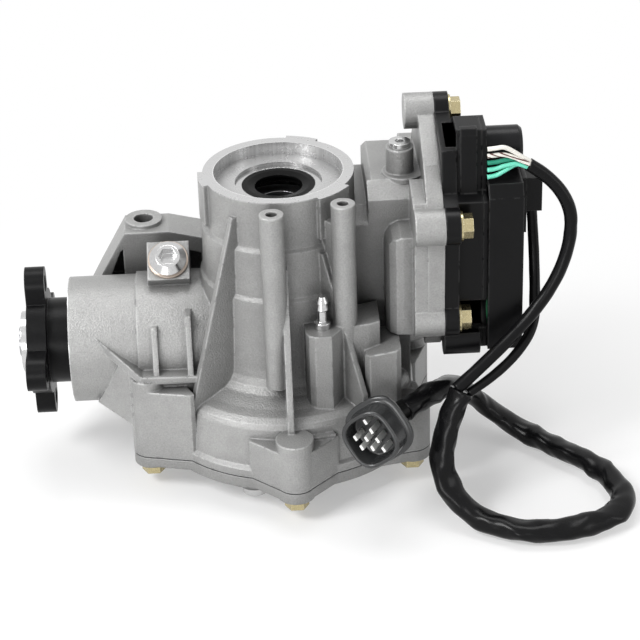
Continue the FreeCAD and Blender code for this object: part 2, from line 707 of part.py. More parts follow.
solids = [spur_gear(SMALL, SIZES["rack_module"], 107, 114.5, toward_idler + 180 + 180.0 / SMALL),
          spur_gear(WHEEL, 1.0, 114.5, 118.5, toward_motor), Part.makeCylinder(2.5, 22, V(0, 0, 97.5))]
wheel = solids[0].fuse(solids[1:])
wheel.Placement = east(*idler_yz)
node("idler_gear", shape_of(wheel, "idler_teeth"))
solids = [spur_gear(DRIVE, 1.0, 113.5, 119, toward_motor + 180 + 180.0 / DRIVE),
          Part.makeCylinder(1.6, 34, V(0, 0, 110)), Part.makeCylinder(8.5, 14, V(0, 0, 127))]
wheel = solids[0].fuse(solids[1:])
wheel.Placement = east(*motor_yz)
node("motor_armature", shape_of(wheel, "armature_teeth"))

# Shift drive housing parts.
TRAY = [(-44, 88), (34, 88), (50, 120), (50, 170), (42, 194), (26, 208), (-11, 228), (-32, 228),
        (-35, 190), (-45, 187)]
INNER = [(-41, 91), (32, 91), (47, 121), (47, 169), (39.5, 192), (24.5, 205), (-11.8, 225), (-29, 225),
         (-32, 187),
         (-42, 184)]
FOOT = [(-40, 92), (-30, 85), (36, 85), (62, 104), (68, 172), (54, 194), (31, 221), (10, 222), (-10, 220),
        (-34, 216), (-38, 190), (-56, 182), (-52, 108)]
STRAP = [(-37.5, 188), (-30, 188), (-30, 230), (-34, 230), (-35.5, 226)]
base = [end_plate(FOOT, "plate_out", "base_out"), end_plate(TRAY, "base_out", "tray_out")]
base.append(end_plate(STRAP, 107, 117))
base += [cylinder(11, "plate_out", "base_out", east(y, z)) for y, z in LUGS]
base.append(cylinder(10, "plate_out", 118, east(-44, 95)))
tray = [end_plate(INNER, 99, 121), cylinder("fit+6.5", 95, 100, east(*out_yz)),
        cylinder("fit+2.5", 97, 100, east(*idler_yz))]
tray += [cylinder("bolt_hole", 95, 106, east(y, z)) for y, z in LUGS]
seats = [cylinder(10, 105, 122, east(y, z)) for y, z in LUGS[:4]]
node("actuator_base", cut("base_cut", fuse("base_whole", base), tray + seats))
lid = cut("lid_cut", end_plate(TRAY, "tray_out", "lid_out"), [cylinder(3, 119, 124, east(*motor_yz))]
          + [cylinder(10, 119, 124, east(y, z)) for y, z in LUGS[:4]])
node("gear_cover", lid)
CAP = [(-48, 88), (36, 88), (46, 100), (46, 180), (30, 197), (-42, 197), (-48, 190)]
ROOM = [(-45, 91), (34.5, 91), (43, 101), (43, 179), (29, 194), (-41, 194), (-45, 189)]
node("actuator_cover", cut("cap_cut", end_plate(CAP, "lid_out", "cover_out"), [end_plate(ROOM, 122, 141)]))
node("control_board", end_plate([(-38, 100), (30, 100), (30, 178), (-38, 178)], 123, 124.6))
MOTOR = east(*motor_yz)
node("motor_can", turned("can_turned", [
    (3, 123), ("motor_r", 123), ("motor_r", 144), (10, 146), (0, 146), (0, 144.3), (10.2, 144.3),
    (10.2, 124.5), (3, 124.5)], MOTOR))
node("lead_bracket", fuse("bracket_whole", [block(144, 147.2, -34, -6, 160, 196), block(147.2, 157, -30,
    -12, 172, 194)]))
bolts = []
for y, z in LUGS:
    place = FreeCAD.Placement(V(0, y, z), ROT(V(1, 1, 1), 120)).multiply(FreeCAD.Placement(V(0, 0, 105),
        ROT()))
    bolts.append(bolt("drive_bolt", place, 24))
node("actuator_bolts", group("drive_bolt_set", bolts))

# Input flange with four ears, and its nut.
hub = turned("flange_turned", [
    ("stub_r+fit", 111.5), (20, 111.5), (20, 124), ("neck_r", 125), ("neck_r", "flange_in"),
        (33, "flange_in"),
    (33, "flange_out"), ("stub_r+fit", "flange_out")], LEFT)
far_r = SIZES["ear_pcd"] / 2.0
ears = []
bores = []
for k in range(4):
    place = LEFT.multiply(FreeCAD.Placement(V(0, 0, 0), ROT(V(0, 0, 1), 90 * k)))
    spot = place.multiply(FreeCAD.Placement(V(far_r, 0, 0), ROT()))
    ears.append(cylinder("ear_r", "flange_in", "flange_out", spot))
    half = SIZES["ear_r"]
    ears.append(block(20, far_r, -half, half, SIZES["flange_in"], SIZES["flange_out"], place))
    bores.append(cylinder("ear_hole", SIZES["flange_in"] - 2, SIZES["flange_out"] + 2, spot))
node("input_flange", cut("flange_cut", fuse("flange_whole", [hub] + ears), bores))
node("flange_nut", ring("nut_turned", "fit+9", "nut_r", "flange_out", "flange_out+5", LEFT))

# Plug at the end of the loom; its own -Y looks out of the socket.
PLUG = FreeCAD.Placement(V(46, -112, 67), ROT(-21, 0, -12))


def plate8(half_w, half_h, corner):
    """Rectangle with cut corners."""
    a, b = half_w - corner, half_h - corner
    return [(-a, -half_h), (a, -half_h), (half_w, -b), (half_w, b), (a, half_h), (-a, half_h),
            (-half_w, b), (-half_w, -b)]


def along_plug(points, low, high):
    turn = PLUG.multiply(FreeCAD.Placement(V(0, high, 0), ROT(V(1, 0, 0), 90)))
    return prism(points, turn, high - low)


shroud = fuse("plug_whole", [along_plug(plate8(16.5, 15.5, 5), 0, 24),
                             along_plug(plate8(19.5, 18.5, 6), 18, 22)])
node("connector_shell", cut("plug_cut", shroud, [along_plug(plate8(14, 13, 4), -1, 19)]))
blades = []
for x in (-8.4, -2.8, 2.8, 8.4):
    for z in (-5, 5):
        blades.append(block(x - 1.4, x + 1.4, 6, 19, z - 0.5, z + 0.5, PLUG))
node("connector_pins", group("blade_set", blades))
# The boot turns the cable out of the back of the plug towards its last bend.
BEND = V(99, -50, 68)
boot_from = PLUG.multVec(V(0, 31, 0))
boot_way = (BEND - boot_from).normalize()
boot_end = boot_from + boot_way * 16
tail = cylinder(7, 0, 16, FreeCAD.Placement(boot_from, ROT(V(0, 0, 1), boot_way)))
node("connector_boot", fuse("boot_whole", [along_plug(plate8(9, 8.5, 3), 24, 34), tail]))

# Loom: five wires into a sheath, a second lead, and the long sleeve to the plug.
mouth = V(147, -40, 208)
heading = V(25, -2, -16).normalize()
upward = heading.cross(V(0, 1, 0)).normalize()
forward = heading.cross(upward).normalize()
SPREAD = [(2.6, 0), (0.8, 2.5), (0.8, -2.5), (-2.1, 1.5), (-2.1, -1.5)]
WIRES = ["wire_white", "wire_white_striped", "wire_dark_green", "wire_mint_upper", "wire_mint_lower"]
for name, z, (lift, front) in zip(WIRES, (219, 214.5, 210, 205.5, 201), SPREAD):
    end = mouth + upward * lift + forward * front
    cord(name, [(123, -40, z), (133, -40, z), tuple(end)], SIZES["wire_r"])
cord("sheath_cable", [(147, -40, 208), (172, -42, 192), (173, -46, 150), (146, -56, 108), (101, -76, 77.8)],
     SIZES["cable_r"])
cord("second_lead", [(152, -20, 171.6), (155, -24, 128), (149, -64, 94),
                     (108.4, -75.7, 74.1)], SIZES["lead_r"])
cord("main_sleeve", [
    (104, -76, 76), (86, -88, 42), (100, -106, 8), (136, -131, 6.2), (172, -131, 6.2), (200.3, -102.7, 6.2),
    (200.3, -62.7, 6.2), (172, -34.4, 6.2), (141, -8, 8), (112, -6, 36), tuple(BEND), tuple(boot_end)],
     SIZES["sheath_r"])

doc.recompute()
triangles = 0
for name, obj in nodes:
    if "Invalid" in obj.State or obj.Shape.isNull() or not obj.Shape.isValid():
        raise RuntimeError(name + " is not a sound solid")
    if not obj.Shape.Solids:
        raise RuntimeError(name + " holds no solid")
    obj.Shape.exportStep("parts/" + name + ".step")
    triangles += len(obj.Shape.tessellate(0.3)[1])
    print(name, len(obj.Shape.Solids), round(obj.Shape.Volume, 1))
print(len(nodes), "pieces,", triangles, "triangles")
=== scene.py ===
import json
import math

import bmesh
import bpy
import numpy as np
from mathutils import Matrix, Vector

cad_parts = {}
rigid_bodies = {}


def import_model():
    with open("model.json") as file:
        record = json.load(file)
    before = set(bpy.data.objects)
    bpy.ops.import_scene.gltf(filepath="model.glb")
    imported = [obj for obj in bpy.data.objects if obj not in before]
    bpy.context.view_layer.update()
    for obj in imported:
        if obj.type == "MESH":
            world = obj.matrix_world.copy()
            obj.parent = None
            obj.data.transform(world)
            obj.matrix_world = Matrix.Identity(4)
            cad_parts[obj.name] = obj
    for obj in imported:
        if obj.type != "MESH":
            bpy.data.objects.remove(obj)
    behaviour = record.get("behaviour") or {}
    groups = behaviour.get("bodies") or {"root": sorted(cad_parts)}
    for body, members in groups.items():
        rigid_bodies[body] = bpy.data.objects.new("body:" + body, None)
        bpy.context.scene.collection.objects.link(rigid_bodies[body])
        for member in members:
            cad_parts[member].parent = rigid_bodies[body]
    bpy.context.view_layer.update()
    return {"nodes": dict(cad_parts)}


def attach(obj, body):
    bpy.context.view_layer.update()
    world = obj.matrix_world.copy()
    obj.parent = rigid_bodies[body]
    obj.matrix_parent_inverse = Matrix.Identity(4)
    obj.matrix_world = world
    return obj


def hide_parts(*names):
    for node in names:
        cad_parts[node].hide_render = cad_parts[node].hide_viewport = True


for item in list(bpy.data.objects):
    bpy.data.objects.remove(item)

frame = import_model()
nodes = frame["nodes"]
scene = bpy.context.scene
print("frame loaded", len(nodes), "nodes")

# The view of the photograph: long lens, from above, with a slight lean.
view = {"lens": 123.75, "place": (-0.01945, -1.20558, 0.76947), "rise": 29.5, "turn": -2.0, "lean": 1.8}


def makeCamera(view):
    # Rise and turn give the way back to the camera. Its side and top are square to that, turned by the lean.
    rise, turn, lean = (math.radians(view[key]) for key in ("rise", "turn", "lean"))
    back = Vector((math.sin(turn) * math.cos(rise), -math.cos(turn) * math.cos(rise), math.sin(rise)))
    right = Vector((math.cos(turn), math.sin(turn), 0))
    up = back.cross(right)
    side = right * math.cos(lean) - up * math.sin(lean)
    top = right * math.sin(lean) + up * math.cos(lean)
    data = bpy.data.cameras.new("viewCamera")
    data.lens = view["lens"]
    data.sensor_width = 36
    data.clip_end = 20
    camera = bpy.data.objects.new("viewCamera", data)
    scene.collection.objects.link(camera)
    turnMatrix = Matrix((side, top, back)).transposed().to_4x4()
    camera.matrix_world = Matrix.Translation(Vector(view["place"])) @ turnMatrix
    scene.camera = camera


makeCamera(view)


class Nodes:
    # Short way to place and join shader nodes.
    def __init__(self, tree):
        self.tree = tree
        tree.nodes.clear()

    def add(self, kind, links=None, **values):
        # One node. A socket is linked where another node's socket is given, and set to the value otherwise.
        node = self.tree.nodes.new(kind)
        for key, value in values.items():
            setattr(node, key, value)
        for socket, source in (links or {}).items():
            target = node.inputs[socket]
            if isinstance(source, bpy.types.NodeSocket):
                self.tree.links.new(source, target)
            else:
                target.default_value = source
        return node

    def ramp(self, factor, stops):
        # Colours along a factor from 0 to 1. Each stop is a place on it and the colour there.
        node = self.add("ShaderNodeValToRGB", {"Fac": factor})
        ramp = node.color_ramp
        while len(ramp.elements) < len(stops):
            ramp.elements.new(0.5)
        for element, (spot, colour) in zip(ramp.elements, stops):
            element.position = spot
            element.color = (*colour, 1)
        return node.outputs["Color"]

    def math(self, operation, first, second=0.0, clamp=False):
        # One operation on two numbers. Clamp holds the result between 0 and 1.
        node = self.add("ShaderNodeMath", {0: first, 1: second}, operation=operation, use_clamp=clamp)
        return node.outputs[0]

    def times(self, first, second):
        # One colour multiplied by another.
        return self.add("ShaderNodeVectorMath", {0: first, 1: second}, operation="MULTIPLY").outputs[0]

    def noise(self, where, scale, detail=3.0, rough=0.55):
        # Cloudy pattern from 0 to 1. The scale is its clouds to a metre.
        links = {"Vector": where, "Scale": scale, "Detail": detail, "Roughness": rough}
        return self.add("ShaderNodeTexNoise", links).outputs["Fac"]

    def blend(self, factor, first, second):
        # The first colour at factor 0, the second at factor 1, a mix between.
        node = self.add("ShaderNodeMix", data_type="RGBA")
        for socket, source in ((0, factor), (6, first), (7, second)):
            if isinstance(source, bpy.types.NodeSocket):
                self.tree.links.new(source, node.inputs[socket])
            elif socket == 0:
                node.inputs[0].default_value = source
            else:
                node.inputs[socket].default_value = (*source, 1)
        return node.outputs[2]

    def span(self, factor, low, high):
        # A factor from 0 to 1 becomes a number from low to high.
        links = {"Value": factor, "To Min": low, "To Max": high}
        return self.add("ShaderNodeMapRange", links).outputs[0]


def surface(name, colour, rough, metal=0.0, grain=(900, 0.1), mottle=(40, 0.06), edge=(0.0006, 0.0),
            edgeColour=(0.8, 0.8, 0.8), shine=0.5, paintedHollowShade=None, extra=None):
    # Rounded edges, fine grain, soft colour variation, wear and painted glints along the edges, and painted
    # shade in hollows.
    material = bpy.data.materials.new(name)
    material.use_nodes = True
    made = Nodes(material.node_tree)
    where = made.add("ShaderNodeTexCoord").outputs["Object"]
    bevel = made.add("ShaderNodeBevel", {"Radius": edge[0]}, samples=6)
    facing = made.add("ShaderNodeNewGeometry")
    fine = made.noise(where, grain[0], 2.5)
    broad = made.noise(where, mottle[0], 4.0)
    patches = made.noise(where, mottle[0] * 5, 3.0)
    dark = tuple(max(0.0, c * (1 - mottle[1] * 2.2)) for c in colour)
    light = tuple(min(1.0, c * (1 + mottle[1])) for c in colour)
    cloud = made.math("ADD", made.math("MULTIPLY", broad, 0.6), made.math("MULTIPLY", patches, 0.4))
    tone = made.blend(cloud, dark, light)
    tone = made.blend(made.span(fine, -0.35, 0.9), tone, dark)
    roughness = made.span(patches, max(0.03, rough - 0.07), min(1.0, rough + 0.07))
    # Where the rounded normal turns from the true one, in patches, the colour goes to the edge colour:
    # partly wear, partly a painted glint.
    if edge[1] > 0:
        dot = made.add("ShaderNodeVectorMath", {0: bevel.outputs[0], 1: facing.outputs["Normal"]},
                       operation="DOT_PRODUCT").outputs["Value"]
        away = made.math("SUBTRACT", 1.0, dot)
        wornAndPaintedGlint = made.math("MULTIPLY", made.math("MULTIPLY", away, 9.0, True),
                         made.math("GREATER_THAN", patches, 0.42), True)
        wornAndPaintedGlint = made.math("MULTIPLY", wornAndPaintedGlint, edge[1])
        tone = made.blend(wornAndPaintedGlint, tone, edgeColour)
    look = {"tone": tone, "rough": roughness, "metal": metal, "bump": grain[1], "normal": bevel.outputs[0]}
    if extra:
        extra(made, where, look)
    # Painted shade: the colour darkens where ambient occlusion finds nearby surfaces, in hollows, creases
    # and between parts.
    if paintedHollowShade:
        clear = made.add("ShaderNodeAmbientOcclusion", {"Distance": paintedHollowShade[0]}, samples=8).outputs["AO"]
        shade = made.blend(clear, (1 - paintedHollowShade[1],) * 3, (1.0, 1.0, 1.0))
        look["tone"] = made.times(look["tone"], shade)
    bump = made.add("ShaderNodeBump", {"Height": fine, "Strength": look["bump"], "Distance": 0.0004,
                                       "Normal": look["normal"]})
    shader = made.add("ShaderNodeBsdfPrincipled", {"Base Color": look["tone"], "Roughness": look["rough"],
                                                   "Metallic": look["metal"], "Normal": bump.outputs[0],
                                                   "Specular IOR Level": shine})
    made.add("ShaderNodeOutputMaterial", {"Surface": shader.outputs[0]})
    return material


# Where the casting is cut: heights, radii and the end face in metres.
cutFaces = {
    "rimHeight": 0.1923,
    "rimReach": 0.053,
    "boreHeight": 0.12,
    "boreReach": 0.0397,
    "wallReach": 0.0388,
    "endFace": -0.1326,
}


def machined(made, where, look):
    # Cut faces of the casting: collar rim and recess, and the end face of the input housing.
    # There the sand grain goes, the true face shows, rings run round the bore and streaks go down its wall.
    parts = made.add("ShaderNodeSeparateXYZ", {0: where}).outputs
    span = made.math("SQRT", made.math("ADD", made.math("MULTIPLY", parts["X"], parts["X"]),
                                       made.math("MULTIPLY", parts["Y"], parts["Y"])))
    top = made.math("GREATER_THAN", parts["Z"], cutFaces["rimHeight"])
    rim = made.math("MULTIPLY", top, made.math("LESS_THAN", span, cutFaces["rimReach"]))
    high = made.math("GREATER_THAN", parts["Z"], cutFaces["boreHeight"])
    inside = made.math("MULTIPLY", high, made.math("LESS_THAN", span, cutFaces["boreReach"]))
    end = made.math("LESS_THAN", parts["X"], cutFaces["endFace"])
    mask = made.math("MAXIMUM", made.math("MAXIMUM", rim, inside), end)
    rings = made.math("SINE", made.math("MULTIPLY", span, 9000.0))
    flat = made.blend(made.span(rings, 0.3, 0.7), (0.48, 0.48, 0.48), (0.62, 0.62, 0.62))
    streaks = made.noise(made.times(where, (1.0, 1.0, 0.02)), 620, 2.0)
    wall = made.blend(streaks, (0.50, 0.50, 0.50), (1.0, 1.0, 1.0))
    upright = made.math("MULTIPLY", made.math("GREATER_THAN", span, cutFaces["wallReach"]), inside)
    cut = made.blend(upright, flat, wall)
    look["tone"] = made.blend(mask, look["tone"], cut)
    look["rough"] = made.math("SUBTRACT", look["rough"], made.math("MULTIPLY", mask, 0.10))
    look["metal"] = made.math("ADD", look["metal"], made.math("MULTIPLY", mask, 0.35))
    look["bump"] = made.math("MULTIPLY", made.math("SUBTRACT", 1.0, mask), look["bump"])
    plain = made.add("ShaderNodeNewGeometry").outputs["Normal"]
    turn = made.add("ShaderNodeMix", data_type="VECTOR")
    for socket, source in ((0, mask), (4, look["normal"]), (5, plain)):
        made.tree.links.new(source, turn.inputs[socket])
    look["normal"] = turn.outputs[1]


def stripe(made, where, look):
    # Slanting brown bands, where a sine of the place is high.
    parts = made.add("ShaderNodeSeparateXYZ", {0: where}).outputs
    wave = made.math("SINE", made.math("ADD", made.math("MULTIPLY", parts["X"], 900.0),
                                       made.math("MULTIPLY", parts["Z"], 2600.0)))
    look["tone"] = made.blend(made.math("GREATER_THAN", wave, 0.55), look["tone"], (0.10, 0.035, 0.03))


looks = {
    "castLook": dict(colour=(0.408, 0.408, 0.402), rough=0.38, metal=0.30, paintedHollowShade=(0.045, 0.75),
                     grain=(1000, 0.95), mottle=(26, 0.20), edge=(0.0018, 0.4),
                     edgeColour=(0.78, 0.78, 0.78), extra=machined),
    "coverLook": dict(colour=(0.379, 0.379, 0.373), rough=0.40, metal=0.30, paintedHollowShade=(0.045, 0.7),
                      grain=(1000, 0.95), mottle=(26, 0.20), edge=(0.0014, 0.22),
                      edgeColour=(0.62, 0.62, 0.62)),
    "gasketLook": dict(colour=(0.05, 0.05, 0.05), rough=0.8),
    "goldLook": dict(colour=(0.66, 0.57, 0.33), rough=0.26, metal=0.95, grain=(1200, 0.05), mottle=(90, 0.2),
                     edge=(0.0005, 0.5), edgeColour=(0.85, 0.80, 0.62)),
    "silverLook": dict(colour=(0.66, 0.66, 0.66), rough=0.2, metal=1.0, grain=(700, 0.04), mottle=(60, 0.1),
                       edge=(0.0006, 0.25), edgeColour=(0.92, 0.92, 0.92)),
    "steelLook": dict(colour=(0.42, 0.42, 0.43), rough=0.30, metal=1.0, grain=(900, 0.06), mottle=(70, 0.1),
                      edge=(0.0004, 0.3)),
    "ringLook": dict(colour=(0.66, 0.67, 0.69), rough=0.16, metal=1.0, grain=(900, 0.02),
                     edge=(0.0004, 0.2)),
    "ironLook": dict(colour=(0.16, 0.16, 0.165), rough=0.55, metal=0.6, grain=(700, 0.3),
                     edge=(0.0010, 0.2)),
    "rubberLook": dict(colour=(0.006, 0.006, 0.006), rough=0.22, grain=(1500, 0.08), mottle=(60, 0.3),
                       edge=(0.0007, 0.0), shine=0.06),
    "copperLook": dict(colour=(0.50, 0.42, 0.36), rough=0.35, metal=1.0),
    "flangeLook": dict(colour=(0.006, 0.006, 0.0065), rough=0.34, grain=(900, 0.12), mottle=(50, 0.3),
                       edge=(0.0010, 0.3), edgeColour=(0.05, 0.05, 0.05), shine=0.12),
    "blackLook": dict(colour=(0.0045, 0.0045, 0.005), rough=0.33, grain=(1600, 0.10), mottle=(45, 0.25),
                      edge=(0.0016, 0.4), edgeColour=(0.09, 0.09, 0.09), shine=0.16),
    "motorLook": dict(colour=(0.010, 0.010, 0.011), rough=0.30, grain=(1200, 0.06), edge=(0.0010, 0.1),
                      edgeColour=(0.08, 0.08, 0.08), shine=0.16),
    "gearPlasticLook": dict(colour=(0.72, 0.70, 0.62), rough=0.45),
    "boardLook": dict(colour=(0.02, 0.16, 0.07), rough=0.4),
    "plugLook": dict(colour=(0.030, 0.031, 0.032), rough=0.22, grain=(1500, 0.05), mottle=(60, 0.12),
                     edge=(0.0008, 0.5), edgeColour=(0.16, 0.165, 0.17), shine=0.55),
    "bladeLook": dict(colour=(0.92, 0.92, 0.90), rough=0.35, metal=0.1, edge=(0.0003, 0.0)),
    "whiteWireLook": dict(colour=(0.86, 0.84, 0.78), rough=0.34, mottle=(50, 0.03)),
    "stripedWireLook": dict(colour=(0.84, 0.82, 0.76), rough=0.34, mottle=(50, 0.03), extra=stripe),
    "greenWireLook": dict(colour=(0.01, 0.26, 0.16), rough=0.34, mottle=(50, 0.05)),
    "mintWireLook": dict(colour=(0.17, 0.74, 0.54), rough=0.34, mottle=(50, 0.05)),
    "cableLook": dict(colour=(0.006, 0.006, 0.0065), rough=0.30, grain=(300, 0.2), mottle=(60, 0.2),
                      shine=0.13),
    "sleeveLook": dict(colour=(0.005, 0.005, 0.0055), rough=0.25, grain=(110, 0.22), mottle=(40, 0.2),
                       shine=0.16),
}
materials = {name: surface(name, **settings) for name, settings in looks.items()}
print("materials made", len(materials))

dressed = {
    "castLook": ["main_housing"],
    "coverLook": ["side_cover"],
    "gasketLook": ["cover_gasket"],
    "goldLook": ["cover_bolts", "actuator_bolts"],
    "silverLook": ["upper_seal_case", "lower_seal_case", "filler_plug", "drain_plug", "vent_nipple",
                   "detent_screw", "flange_nut", "cross_pin"],
    "steelLook": ["ring_gear", "pinion_shaft", "side_gear_upper", "side_gear_lower", "spider_gear_front",
                  "spider_gear_rear", "lock_sleeve", "shift_fork", "ring_gear_bolts", "output_gear_shaft",
                  "motor_armature"],
    "ringLook": [name for name in nodes if "bearing" in name],
    "ironLook": ["carrier"],
    "rubberLook": ["upper_seal_lip", "lower_seal_lip", "input_oil_seal", "connector_boot"],
    "copperLook": ["filler_washer"],
    "flangeLook": ["input_flange"],
    "blackLook": ["actuator_base", "gear_cover", "actuator_cover", "lead_bracket"],
    "motorLook": ["motor_can"],
    "gearPlasticLook": ["idler_gear"],
    "boardLook": ["control_board"],
    "whiteWireLook": ["wire_white", "wire_white_striped"],
    "greenWireLook": ["wire_dark_green"],
    "mintWireLook": ["wire_mint_upper", "wire_mint_lower"],
    "cableLook": ["sheath_cable", "second_lead"],
    "sleeveLook": ["main_sleeve"],
}
for look, names in dressed.items():
    for name in names:
        mesh = nodes[name].data
        mesh.materials.clear()
        mesh.materials.append(materials[look])
print("frame dressed")

# Routes in millimetres, each with its half width, half height and how deep it wrinkles.
cords = {
    "sheathCableSkin": dict(
        node="sheath_cable", half=(4.0, 4.0), wrinkle=0.12, look="cableLook", end="object",
        points=[(147, -40, 208), (172, -42, 192), (173, -46, 150), (146, -56, 108), (101, -76, 77.8)]),
    "secondLeadSkin": dict(
        node="second_lead", half=(3.4, 2.6), wrinkle=0.1, look="cableLook", end="object",
        points=[(152, -20, 171.6), (155, -24, 128), (149, -64, 94), (108.4, -75.7, 74.1)]),
    "mainSleeveSkin": dict(
        node="main_sleeve", half=(8.2, 6.2), wrinkle=0.8, look="sleeveLook", end="connector",
        points=[(104, -76, 76), (86, -88, 42), (100, -106, 9), (136, -130, 7), (174, -127, 7),
                (205, -107, 7), (196, -66, 7), (169, -37, 7), (141, -8, 9), (112, -6, 36), (99, -50, 68)]),
}


def routeLine(points):
    # Points read from a smooth open spline that has the route's points as its control points.
    curve = bpy.data.curves.new("route", "CURVE")
    curve.dimensions = "3D"
    spline = curve.splines.new("NURBS")
    spline.points.add(len(points) - 1)
    for point, spot in zip(spline.points, points):
        point.co = (*[c / 1000 for c in spot], 1)
    spline.order_u = 3
    spline.use_endpoint_u = True
    spline.resolution_u = 24
    curve.resolution_u = 24
    holder = bpy.data.objects.new("route", curve)
    scene.collection.objects.link(holder)
    bpy.context.view_layer.update()
    mesh = bpy.data.meshes.new_from_object(holder)
    spots = np.zeros(len(mesh.vertices) * 3)
    mesh.vertices.foreach_get("co", spots)
    bpy.data.objects.remove(holder)
    return spots.reshape(-1, 3)


def meshPiece(name, points, faces, look, smooth=True):
    # One closed piece with its faces turned outwards.
    mesh = bpy.data.meshes.new(name)
    mesh.from_pydata(points, [], faces)
    build = bmesh.new()
    build.from_mesh(mesh)
    bmesh.ops.recalc_face_normals(build, faces=build.faces)
    build.to_mesh(mesh)
    build.free()
    mesh.polygons.foreach_set("use_smooth", [smooth] * len(mesh.polygons))
    mesh.materials.append(materials[look])
    piece = bpy.data.objects.new(name, mesh)
    scene.collection.objects.link(piece)
    return piece


def gridMesh(name, grid, look):
    # A mesh of rows x columns x 3 points. The columns join up round the section, and both ends are capped.
    rows, columns = grid.shape[:2]
    i, j = np.meshgrid(np.arange(rows - 1), np.arange(columns), indexing="ij")
    following = (j + 1) % columns
    quads = np.stack([i * columns + j, i * columns + following, (i + 1) * columns + following,
                      (i + 1) * columns + j], axis=-1).reshape(-1, 4)
    faces = quads.tolist()
    faces.append(np.arange(columns)[::-1].tolist())
    faces.append((np.arange(columns) + (rows - 1) * columns).tolist())
    return meshPiece(name, grid.reshape(-1, 3).tolist(), faces, look)


def resample(line, step):
    # Evenly spaced points along a line, by its own length.
    run = np.concatenate([[0], np.cumsum(np.linalg.norm(np.diff(line, axis=0), axis=1))])
    along = np.linspace(0, run[-1], max(8, int(run[-1] / step)))
    return np.stack([np.interp(along, run, line[:, k]) for k in range(3)], axis=1), along


ringStep = 0.0011


def tube(name, line, half, wrinkle, look, columns=28):
    # An oval section carried along a line. Slow sines of the angle and the length make its long folds.
    spots, along = resample(line, ringStep)
    way = np.gradient(spots, axis=0)
    way /= np.linalg.norm(way, axis=1)[:, None]
    side = np.cross(way, [0, 0, 1.0])
    side /= np.linalg.norm(side, axis=1)[:, None]
    top = np.cross(side, way)
    v = np.linspace(0, 2 * np.pi, columns, endpoint=False)[None, :]
    mm = along[:, None] * 1000
    ridge = 1 - 2 * np.abs(np.sin(v + mm * 0.052 + 0.9 * np.sin(mm * 0.11)))
    crease = 1 - 2 * np.abs(np.sin(mm * 0.13 + 1.4 * np.sin(v + mm * 0.02)))
    wave = (ridge * 0.75 + crease * 0.35 + np.sin(3 * v + 1.6 * np.sin(mm * 0.05)) * 0.45
            + np.sin(mm * 0.42 + 2.2 * np.sin(2 * v + mm * 0.045)) * 0.25)
    fade = np.clip(np.minimum(mm, mm[-1] - mm) / 6, 0, 1)
    reach = 1 + wave * fade * wrinkle / max(half)
    grid = (spots[:, None, :] + side[:, None, :] * (half[0] / 1000 * np.cos(v) * reach)[..., None]
            + top[:, None, :] * (half[1] / 1000 * np.sin(v) * reach)[..., None])
    grid[..., 2] = np.maximum(grid[..., 2], 0.0002)
    return gridMesh(name, grid, look)


# The last sleeve point meets the boot, whose axis runs from the plug's back to the last bend.
plugPlace = Vector((46, -112, 67))
plugTurn = Matrix.Rotation(math.radians(-21), 3, "Z") @ Matrix.Rotation(math.radians(-12), 3, "X")
bootFrom = plugPlace + plugTurn @ Vector((0, 31, 0))
bootWay = (Vector((99, -50, 68)) - bootFrom).normalized()
cords["mainSleeveSkin"]["points"].append(tuple(bootFrom + bootWay * 16))

# The plug in its own millimetres: a rounded shroud rolled on its axis, a collar near its back, eight blades.
plug = {"half": (16.5, 15.5), "power": 3.0, "roll": -52.0, "floor": 17.0, "blade": (1.6, 0.8, 15.0),
        "blades": [(-10.5, 3.0), (-4.0, 3.0), (2.6, 3.0), (9.2, 3.0),
                   (-1.4, -2.6), (5.2, -2.6), (-5.2, -8.2), (1.6, -8.2)]}


def plugSpot(x, y, z):
    # The plug's own millimetres are rolled about its axis, turned, moved to its place and made metres.
    roll = math.radians(plug["roll"])
    spot = Vector((x * math.cos(roll) - z * math.sin(roll), y, x * math.sin(roll) + z * math.cos(roll)))
    return list((plugPlace + plugTurn @ spot) / 1000)


def makeShroud():
    # The outline lies between an ellipse and a rectangle: its two shares of the half sizes, each raised to
    # the same power, add up to one. Each row is (wider by, how far back).
    floor = plug["floor"]
    inner = [(-4.0, floor), (-2.9, floor - 0.1), (-2.6, floor - 0.6), (-2.5, 1.0), (-2.1, 0.25)]
    front = [(-1.5, 0.0), (-0.7, 0.1), (-0.1, 0.7), (0.0, 1.5), (0.0, 17.0), (0.3, 17.8)]
    collar = [(1.0, 18.0), (2.5, 18.1), (3.0, 18.6), (3.0, 21.4), (2.5, 21.9), (0.8, 22.0)]
    rows = inner + front + collar + [(0.2, 22.3), (0.0, 23.0), (-0.4, 23.8), (-1.2, 24.0)]
    around = np.linspace(0, 2 * np.pi, 64, endpoint=False)
    grid = []
    for wider, back in rows:
        a, b = (half + wider for half in plug["half"])
        power = plug["power"]
        reach = (np.abs(np.cos(around) / a) ** power + np.abs(np.sin(around) / b) ** power) ** (-1 / power)
        grid.append([plugSpot(r * math.cos(t), back, r * math.sin(t)) for r, t in zip(reach, around)])
    return gridMesh("plugShroud", np.array(grid), "plugLook")


def makeBlades():
    # Flat boxes. Each stands in the floor of the shroud and comes forward by its length.
    wide, thick, long = plug["blade"]
    points, faces = [], []
    corners = [(x, y, z) for y in (0, 1) for x, z in ((-1, -1), (1, -1), (1, 1), (-1, 1))]
    sides = [(0, 1, 2, 3), (7, 6, 5, 4), (0, 4, 5, 1), (1, 5, 6, 2), (2, 6, 7, 3), (3, 7, 4, 0)]
    for x, z in plug["blades"]:
        first = len(points)
        for cx, cy, cz in corners:
            points.append(plugSpot(x + cx * wide, plug["floor"] + 0.3 - long * (1 - cy), z + cz * thick))
        faces += [[first + k for k in side] for side in sides]
    return meshPiece("plugBlades", points, faces, "bladeLook", smooth=False)


